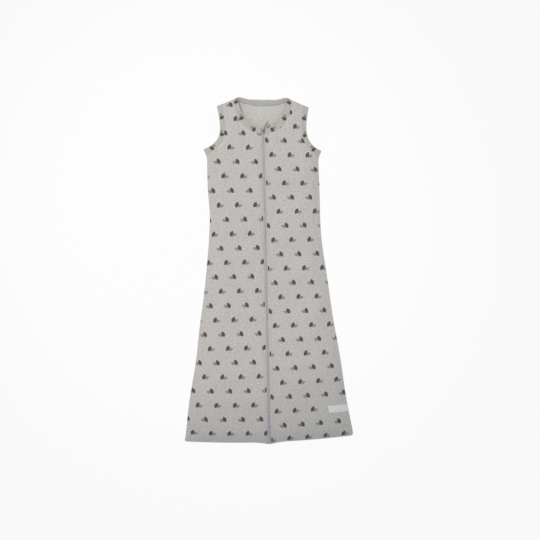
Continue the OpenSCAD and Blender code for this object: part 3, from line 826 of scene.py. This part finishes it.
# Zip tapes: woven polyester in a lilac grey, stitched under the turned-in edges of the fronts.
# Below the slider's lowest place they stay joined and run down into the hem.
tape_w = 12 * mm
tape_t = 0.6 * mm
tape_under = 0.6 * mm
tape_thread = 0.9 * mm
chain_half = 2.1 * mm
tape_top = loft - fold_r
zip_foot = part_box("zip_bottom_stop")[1].y - hem_y
slider_low, slider_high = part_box("zip_slider")
slider_y = (slider_low.y + slider_high.y) / 2 - hem_y
slider_l = slider_high.y - slider_low.y
parting = 1.2 * mm
part_from, part_to = slider_y - slider_l / 5, slider_y + slider_l / 12
hem_gap = 0.3 * mm
neck_gap = 0.2 * mm
tape_split = slider_high.y - hem_y - joint("zip_slide")["range_m"][1] + hem_gap
narrow_from, narrow_to = neck_y - band_w - 2 * mm, neck_y - band_w - mm


def tape_weave(name, colour, thread):
    """Woven polyester: crossing threads as bump, with a slight sheen; the colour also carries painted
    shade, darker where the threads lie low between their crossings.
    """
    material, tree, shader = new_material(name)
    cut = add(tree, "UVMap", uv_map="cut")
    waves = {"Vector": cut, "Scale": wave_period / thread, "Distortion": 0.4}
    warp, weft = (add(tree, "TexWave", waves, "Fac", bands_direction=way) for way in "XY")
    weave = add(tree, "Math", {0: warp, 1: weft}, operation="MULTIPLY")
    # Painted shade: the colour is darkened where the weave is low, between the crossing threads.
    shade = add(tree, "MapRange", {"Value": weave, "To Min": 0.86, "To Max": 1.06})
    tint = add(tree, "VectorMath", {0: srgb(colour)[:3], "Scale": shade}, operation="SCALE")
    bump = add(tree, "Bump", {"Height": weave, "Distance": 0.15 * mm, "Strength": 0.6})
    feed(tree, shader, {"Base Color": tint, "Normal": bump, "Roughness": 0.7, "Sheen Weight": 0.15})
    return material


tape_cloth = tape_weave("woven_polyester_tape", "#c2bfc4", tape_thread)
tape_share = np.linspace(0, 1, 9)[None, :]
tape_y = np.linspace(tape_split, neck_y - neck_gap, 260)[:, None]
tape_in = chain_half - tape_under + parting * ramp(tape_y, part_from, part_to)
tape_out = tape_w + (zip_edge - tape_w) * ramp(tape_y, narrow_from, narrow_to)
tape_x = tape_in + tape_share * (tape_out - tape_in)
for side_name, side in sides.items():
    points, cut = sided(side, tape_x, tape_y, tape_top)
    tape = grid_piece(side_name + "_tape", points, cut, tape_cloth, tape_t)
    fold_back(tape, side_name, "zip_tape", side_name + "_zip_tape")
y = np.linspace(hem_gap, tape_split, 70)[:, None]
x = chain_half - tape_under + tape_share * (tape_w - chain_half)
points, cut = stacked([sided(side, x, y, front_top(x, y) - fold_r) for side in sides.values()])
tape_end = grid_piece("tape_ends", points, cut, tape_cloth, tape_t)
carried(tape_end, "bag", "zip_tape", "zip_end_tapes")

# Coils: a nylon monofilament wound into a flat spiral and sewn along each tape. The turns of the two
# sides lie between each other, and part above the slider.
coil_pitch = 1.35 * mm
coil_wire_r = 0.3 * mm
coil_half_w = 1.15 * mm
coil_half_h = 0.62 * mm
turn_steps = 10
wire_sides = 5
coil_z = tape_top + 0.15 * mm
chain_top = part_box("right_zip_chain")[1].y - hem_y
stop_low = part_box("zip_bottom_stop")[0].y - hem_y
chain_end_low = 1.5 * mm
nylon_streak = 3 * mm


def nylon(name, colour):
    """Dyed nylon or polyester: smooth, a little streaked, with a soft highlight."""
    material, tree, shader = new_material(name)
    place = add(tree, "TexCoord", out="Object")
    streak = add(tree, "TexNoise", {"Vector": place, "Scale": 1 / nylon_streak, "Detail": 2.0}, "Fac")
    shade = add(tree, "MapRange", {"Value": streak, "To Min": 0.85, "To Max": 1.1})
    tint = add(tree, "VectorMath", {0: srgb(colour)[:3], "Scale": shade}, operation="SCALE")
    feed(tree, shader, {"Base Color": tint, "Roughness": 0.38, "IOR": 1.53})
    return material


def unit(vectors):
    """Vectors of the same direction and length one."""
    return vectors / np.linalg.norm(vectors, axis=-1, keepdims=True)


def around(steps):
    """Angles of one full turn."""
    return np.linspace(0, 2 * math.pi, steps, endpoint=False)


def tube(path, spoke, radius, sides_round):
    """A round wire along a path: at each point a ring about the path, started at the spoke."""
    along = unit(np.gradient(path, axis=0))
    out = unit(spoke - (spoke * along).sum(axis=1, keepdims=True) * along)
    turn = around(sides_round)[None, :, None]
    ring = np.cos(turn) * out[:, None, :] + np.sin(turn) * np.cross(along, out)[:, None, :]
    return path[:, None, :] + radius * ring


def coil(side, low, high, height):
    """Wire wound round an oval that moves up the zip by one pitch a turn; the left side is half a turn
    on. Returns points and cut."""
    turns = int((high - low) / coil_pitch)
    turn = np.linspace(0, 2 * math.pi * turns, turns * turn_steps + 1)
    y = low + coil_pitch * (turn / (2 * math.pi) + (0.5 if side < 0 else 0))
    middle = chain_half / 2 + parting * ramp(y, part_from, part_to)
    x = side * middle - side * coil_half_w * np.cos(turn)
    path = on_bag(x, y, height(x, y) + coil_half_h * np.sin(turn))
    points = tube(path, places(-side * np.cos(turn), 0, np.sin(turn)), coil_wire_r, wire_sides)
    return points, points[..., :2]


def level_height(x, y):
    """Height of the coils above the foot, where the zip lies level."""
    return coil_z


def end_height(x, y):
    """Height of the coils below the foot, which follow the front down to the hem."""
    return front_top(np.abs(x), y) - loft + coil_z


coil_nylon = nylon("dyed_nylon_coil", "#dfdce0")
for side_name, side in sides.items():
    points, cut = coil(side, zip_foot + coil_pitch, chain_top, level_height)
    chain = grid_piece(side_name + "_coil", points, cut, coil_nylon, closed=True)
    carried(chain, side_name + "_lapel", "zip_coil", side_name + "_zip_chain")
points, cut = stacked([coil(side, chain_end_low, stop_low, end_height) for side in sides.values()])
chain_end = grid_piece("coil_end", points, cut, coil_nylon, closed=True)
carried(chain_end, "bag", "zip_coil", "zip_end_chain")

# Stops: small blocks of nylon, moulded on the tapes at the top and across both coils at the foot.
# They keep the slider on the zip.
block_power = 0.4
block_pole = 1.55


def rounded_block(low, high):
    """A box whose edges and corners are rounded: a superellipsoid, like a sphere with its cosines and
    sines raised to a low power."""
    tilt, turn = np.linspace(-block_pole, block_pole, 13)[:, None], around(24)[None, :]
    waves = [np.cos(tilt), np.sin(tilt), np.cos(turn), np.sin(turn)]
    out, up, right, ahead = (np.sign(wave) * np.abs(wave) ** block_power for wave in waves)
    low, high = np.array(low), np.array(high)
    return (low + high) / 2 + places(out * right, out * ahead, up) * (high - low) / 2


stop_nylon = nylon("moulded_nylon_stop", "#b3b0b6")
stop_bodies = {"left_top_stop": "left_lapel", "right_top_stop": "right_lapel", "zip_bottom_stop": "bag"}
for node, body in stop_bodies.items():
    points = rounded_block(*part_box(node))
    stop = grid_piece(node + "_block", points, points[..., :2], stop_nylon, closed=True)
    carried(stop, body, "zip_metal", node)

# Stitches: grey polyester thread, lying in short arcs along the zip edges and the bands.
# They hold the fronts to the tapes and the bands to the cloth.
stitch_pitch = 3.2 * mm
stitch_l = 2.5 * mm
stitch_rise = 0.3 * mm
stitch_dip = 0.7
thread_r = 0.26 * mm
thread_end = 1.08
zip_row_gap = 4 * mm
back_stitch_lift = 0.2 * mm
thread = nylon("polyester_thread", "#bdb8b4")


def stitch_row(path):
    """A row of stitches on a path: each is a short wire that rises in the middle and dips at its ends."""
    length = along_path(path)
    at = np.arange(stitch_pitch, length[-1] - stitch_pitch / 2, stitch_pitch)
    place = places(*(np.interp(at, length, part) for part in path.T))
    ahead = unit(places(*(np.interp(at + mm, length, part) for part in path.T)) - place)
    up = np.array([0.0, 0.0, 1.0])
    run = np.linspace(-0.5, 0.5, 6)
    turn = around(6)[:, None]
    swell = thread_r * np.sqrt(thread_end - (2 * run) ** 2)
    line = place[:, None, :] + stitch_l * run[None, :, None] * ahead[:, None, :]
    line = line + (stitch_rise * (stitch_dip - (2 * run) ** 2))[None, :, None] * up
    ring = np.cos(turn) * np.cross(ahead, up)[:, None, None, :] + np.sin(turn) * up
    return line[:, :, None, :] + swell[None, :, None, None] * ring


def stitches(name, *paths):
    """A piece of thread with a row of stitches on each path."""
    rows = np.concatenate([stitch_row(path) for path in paths])
    return grid_piece(name + "_stitching", rows, rows[..., :2], thread, closed=True)


def on_front(side, plan):
    """A path on the front's top face."""
    return on_bag(side * plan[:, 0], plan[:, 1], front_band_height(*plan.T))


def band_line(outer, inner):
    """The line of stitches in a band, near its inner edge."""
    return outer + band_stitch / band_w * (inner - outer)


zip_line = places(zip_edge + stitch_in, np.linspace(zip_row_gap, neck_y - band_w - mm, 300))
neck_line, arm_line = band_line(neck_outer, neck_inner), band_line(arm_outer, arm_inner)
for side_name, side in sides.items():
    stitching = stitches(side_name + "_zip", on_front(side, zip_line), on_front(side, neck_line))
    fold_back(stitching, side_name, "seam")
    carried(stitches(side_name + "_armhole", on_front(side, arm_line)), "bag", "seam")
back_line = band_line(back_neck_outer, back_neck_inner)
back_line = on_bag(*back_line.T, back_neck_height(*back_line.T) + back_stitch_lift)
carried(stitches("back_neck", back_line), "bag", "seam")

# Slider: die-cast zinc, lacquered in a warm grey. Two plates with turned-in edges hold the coils, a wedge
# joins them and parts the coils, and a bail of wire on top carries the pull tab.
slider_w = slider_high.x - slider_low.x
tail_w = 6.4 * mm
plate_t = 1.1 * mm
plate_round = 0.3 * mm
plate_corner_r = 1.4 * mm
flange_w = 0.8 * mm
flange_h = 0.55 * mm
wedge_w = 1.8 * mm
inner_round = 0.1 * mm
overlap = 0.2 * mm
merge_near = 0.002 * mm
bail_wire_r = 0.6 * mm
bail_r = 2.6 * mm
bail_root = 0.1 * mm
cast_grain = 1.2 * mm
pivot = np.array(joint("pull_tab_flip")["pos_m"])


def lacquered_zinc(name, colour):
    """Cast zinc under coloured lacquer: a metal flake base with a clear coat, dulled by small scratches."""
    material, tree, shader = new_material(name)
    place = add(tree, "TexCoord", out="Object")
    grain = add(tree, "TexNoise", {"Vector": place, "Scale": 1 / cast_grain, "Detail": 4.0}, "Fac")
    rough = add(tree, "MapRange", {"Value": grain, "To Min": 0.4, "To Max": 0.62})
    bump = add(tree, "Bump", {"Height": grain, "Distance": 0.05 * mm, "Strength": 0.3})
    feed(tree, shader, {"Base Color": srgb(colour), "Metallic": 0.85, "Roughness": rough, "Normal": bump})
    feed(tree, shader, {"Coat Weight": 0.15, "Coat Roughness": 0.3})
    return material


def flat_plate(outlines, low, high, round_r):
    """Mesh of a plate cut to closed outlines, the first its edge and the others holes, with round edges."""
    curve = bpy.data.curves.new("outline", "CURVE")
    curve.dimensions = "2D"
    curve.fill_mode = "BOTH"
    curve.extrude = (high - low) / 2 - round_r
    curve.bevel_depth = round_r
    curve.bevel_resolution = 3
    curve.offset = -round_r
    for outline in outlines:
        spline = curve.splines.new("POLY")
        spline.points.add(len(outline) - 1)
        spline.points.foreach_set("co", places(outline[:, 0], outline[:, 1], 0.0, 1.0).ravel())
        spline.use_cyclic_u = True
    shape = bpy.data.objects.new("outline", curve)
    scene.collection.objects.link(shape)
    mesh = bpy.data.meshes.new_from_object(shape.evaluated_get(bpy.context.evaluated_depsgraph_get()))
    bpy.data.objects.remove(shape)
    mesh.transform(Matrix.Translation((0, 0, (low + high) / 2)))
    return mesh


def rounded_outline(corners, radius, steps=8):
    """A closed outline with its corners rounded: at each corner, an arc as a curve between the two points
    a radius away along its sides."""
    corners = np.array(corners, float)
    before, after = (unit(np.roll(corners, way, axis=0) - corners) for way in (1, -1))
    t = np.linspace(0, 1, steps)[None, :, None]
    start, end = corners + radius * before, corners + radius * after
    arc = (1 - t) ** 2 * start[:, None] + 2 * t * (1 - t) * corners[:, None] + t**2 * end[:, None]
    return arc.reshape(-1, 2)


half_l = slider_l / 2
shoulder_y = half_l / 10
nose_y, cheek_y, root_y = 0.2 * half_l, 0.54 * half_l, 0.76 * half_l
plate_corners = [(tail_w / 2, -half_l), (slider_w / 2, shoulder_y), (slider_w / 2, half_l)]
plate_corners = plate_corners + [(-x, y) for x, y in plate_corners[::-1]]
plate_edge = rounded_outline(plate_corners, plate_corner_r)
flange = [(tail_w / 2, -half_l + mm), (slider_w / 2, shoulder_y), (slider_w / 2, half_l - mm)]
flange = np.array(flange + [(x - flange_w, y) for x, y in flange[::-1]])
wedge = np.array([(0, nose_y), (wedge_w / 2, cheek_y), (wedge_w / 2, root_y)])
wedge = np.concatenate([wedge, wedge[:0:-1] * (-1, 1)])
low_top, high_foot = slider_low.z + plate_t, slider_high.z - plate_t
plates = [(slider_low.z, low_top), (high_foot, slider_high.z)]
parts = [flat_plate([plate_edge], low, high, plate_round) for low, high in plates]
for way in (1, -1):
    edge = (flange * (way, 1))[::way]
    parts.append(flat_plate([edge], low_top - overlap, low_top + flange_h, inner_round))
    parts.append(flat_plate([edge], high_foot - flange_h, high_foot + overlap, inner_round))
parts.append(flat_plate([wedge], low_top - overlap, high_foot + overlap, inner_round))
slider_mesh = bpy.data.meshes.new("slider")
outward(slider_mesh, parts, merge_near)
slider_mesh.transform(Matrix.Translation((0, slider_y + hem_y, 0)))
zinc = lacquered_zinc("lacquered_zinc", "#6f6c6b")
carried(finished("slider_body", slider_mesh, zinc), "slider", "zip_metal", "zip_slider")

arch = np.linspace(0, math.pi, 25)
leg = np.linspace(1, 0, 5)[:-1]
bail_leg = pivot[2] - slider_high.z + bail_root
bail_y = np.concatenate([np.full(4, bail_r), bail_r * np.cos(arch), np.full(4, -bail_r)])
bail_z = np.concatenate([-bail_leg * leg, bail_r * np.sin(arch), -bail_leg * leg[::-1]])
bail_path = pivot + places(0, bail_y, bail_z)
points = tube(bail_path, np.tile((1.0, 0.0, 0.0), (len(bail_path), 1)), bail_wire_r, 12)
bail = grid_piece("bail_wire", points, points[..., :2], zinc, closed=True)
carried(bail, "slider", "zip_metal", "slider_bail")

# Pull tab: a stamped zinc drop with an eye that runs round the bail and a hole at its wide end,
# lying up and to the right over the neckline.
tab_l = 26 * mm
tab_w = 5.6 * mm
tab_t = 1.0 * mm
tab_round = 0.25 * mm
eye_r = 2.4 * mm
eye_play = 0.5 * mm
tab_lean = math.radians(29)
tab_rise = math.radians(10)


def arc_points(y, radius, start, end, steps):
    """Points on an arc about a place on the tab's axis, from the start to the end angle, in degrees."""
    turn = np.radians(np.linspace(start, end, steps))
    return places(radius * np.cos(turn), y + radius * np.sin(turn))


end_y = tab_l - tab_w / 2
tab_edge = [arc_points(0, eye_r, 130, 410, 32), arc_points(end_y, tab_w / 2, -5, 185, 28)]
eye_hole = arc_points(0, bail_wire_r + eye_play, 360, 12, 30)
end_hole = arc_points(end_y, tab_w / 4, 360, 12, 30)
plate = flat_plate([np.concatenate(tab_edge), eye_hole, end_hole], -tab_t / 2, tab_t / 2, tab_round)
tab_mesh = bpy.data.meshes.new("tab")
outward(tab_mesh, [plate], merge_near)
tab_place = Matrix.Translation(pivot) @ Matrix.Rotation(tab_rise, 4, "X")
tab_place = tab_place @ Matrix.Translation((0, bail_r, 0)) @ Matrix.Rotation(-tab_lean, 4, "Z")
tab_mesh.transform(tab_place)
carried(finished("pull_tab_plate", tab_mesh, zinc), "pull_tab", "zip_metal", "pull_tab")

# Side label: a strip of white satin, folded double, its ends caught in the right side seam.
# It is blank, lies on the front and lifts a little at its fold.
label_l = 52 * mm
label_h = 20 * mm
label_rise = 71 * mm
label_droop = 2.6 * mm
label_in = 0.2 * mm
label_gap = 0.35 * mm
label_lift = 1.2 * mm
label_wave = 0.25 * mm
satin_t = 0.3 * mm
satin_thread = 0.7 * mm
label_columns = 24
label_satin = tape_weave("white_woven_satin", "#f1efee", satin_thread)
fold_run = np.linspace(0.02, 1, label_columns)
loop = np.concatenate([fold_run[::-1], [0.005, 0, 0.005], fold_run])[None, :]
layer = np.concatenate([np.ones(label_columns), [0.9, 0.5, 0.1], np.zeros(label_columns)])[None, :]
y = label_rise + label_h * np.linspace(0, 1, 16)[:, None]
x = side_x(y) - label_in - label_l + label_l * loop
y = y - label_droop * loop
lift = label_lift * ramp(loop, 0.35, 0) + label_wave * np.sin(3 * math.pi * loop)
z = front_top(x, y) + slack(x, y, 1) + label_gap + lift + 2 * satin_t * layer
label = grid_piece("blank_label", on_bag(x, y, z), places(x, y), label_satin, closed=True)
carried(label, "bag", "label", "side_label")

# Studio: a white floor that keeps the soft shadow, even sky light, one lamp high over the left of the
# neck, whose cone fades softly towards the hem, and a camera straight above that sees 1.4 m across.
floor_z = -0.2 * mm
floor_reach = 8.0
floor_glow = 0.9
sky_light = 0.53
sensor_w = 36
frame_w = 1398.6 * mm
camera_height = 3.0


def seen(tree):
    """1 for a ray that shows the background, straight or in metal or glass, and 0 for one that lights."""
    camera_ray = add(tree, "LightPath", out="Is Camera Ray")
    rays = camera_ray.node.outputs
    share = add(tree, "Math", {0: camera_ray, 1: rays["Is Glossy Ray"]})
    return add(tree, "Math", {0: share, 1: rays["Is Transmission Ray"]}, use_clamp=True)


paper, tree, shader = new_material("white_paper_floor")
feed(tree, shader, {"Base Color": srgb("#f2f2f2"), "Roughness": 1.0})
glow = add(tree, "Emission", {"Strength": 1.0})
share = add(tree, "Math", {0: seen(tree), 1: floor_glow}, operation="MULTIPLY")
mixed = add(tree, "MixShader", {0: share, 1: shader.outputs[0], 2: glow})
feed(tree, tree.nodes["Material Output"], {"Surface": mixed})
ends = np.array([-floor_reach, floor_reach])
floor_points = places(ends[None, :], ends[:, None], floor_z)
grid_piece("floor", floor_points, floor_points[..., :2], paper)

world = bpy.data.worlds.new("soft_sky")
world.use_nodes = True
scene.world = world
tree = world.node_tree
shown = seen(tree)
strength = add(tree, "MapRange", {"Value": shown, "To Min": sky_light, "To Max": 1.0})
colour = add(tree, "Mix", {0: shown, 6: srgb("#f2fbff"), 7: srgb("#ffffff")}, 2, data_type="RGBA")
feed(tree, tree.nodes["Background"], {"Strength": strength, "Color": colour})

lamp = bpy.data.lights.new("window", "SPOT")
lamp.shadow_soft_size = 0.2
lamp.spot_size = math.radians(22.5)
lamp.spot_blend = 0.6
lamp.energy = 248
lamp.color = srgb("#fff3ec")[:3]
window = bpy.data.objects.new("window", lamp)
window.location = (-0.68, 1.0, 3.48)
window.rotation_euler = (math.radians(-13.5), math.radians(-8.9), 0)
scene.collection.objects.link(window)

camera = bpy.data.objects.new("camera", bpy.data.cameras.new("camera"))
camera.data.sensor_width = sensor_w
camera.data.lens = sensor_w * camera_height / frame_w
camera.location = (10.4 * mm, 0.3 * mm, loft + camera_height)
camera.rotation_euler = (0, 0, math.radians(-1.17))
scene.collection.objects.link(camera)
scene.camera = camera
scene.view_settings.view_transform = "Standard"
